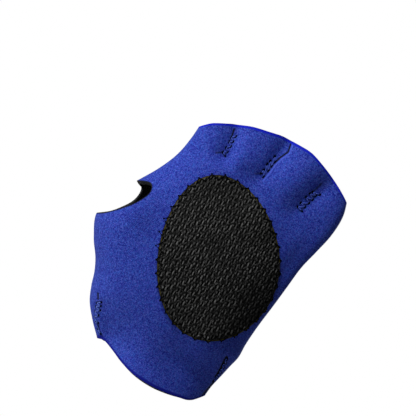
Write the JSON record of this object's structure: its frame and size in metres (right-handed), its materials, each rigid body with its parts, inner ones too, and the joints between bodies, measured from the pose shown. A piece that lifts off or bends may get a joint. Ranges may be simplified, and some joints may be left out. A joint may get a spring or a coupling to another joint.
{
  "type": "fitness glove",
  "caption": "Half-finger neoprene fitness glove for a left hand in its worn form, with sewn finger mouths, a thumb hole and an oval grip patch on the palm.",
  "frame": {"origin": "middle of the hollow that the hand fills, between palm and back", "axes": "+Z from the wrist to the fingers, the palm faces -Y, the thumb hole opens towards -X and the little finger's edge is at +X"},
  "size_m": [0.1126, 0.0445, 0.1535],
  "materials": {
    "neoprene": "royal blue knitted jersey over black foam neoprene, matt with a soft sheen",
    "grip_rubber": "black rubber sheet moulded with close slanting ribs, satin",
    "blue_thread": "royal blue sewing thread",
    "black_thread": "black sewing thread"
  },
  "bodies": {
    "root": {"neoprene_sleeve": "neoprene", "grip_patch": "grip_rubber"}
  },
  "joints": []
}
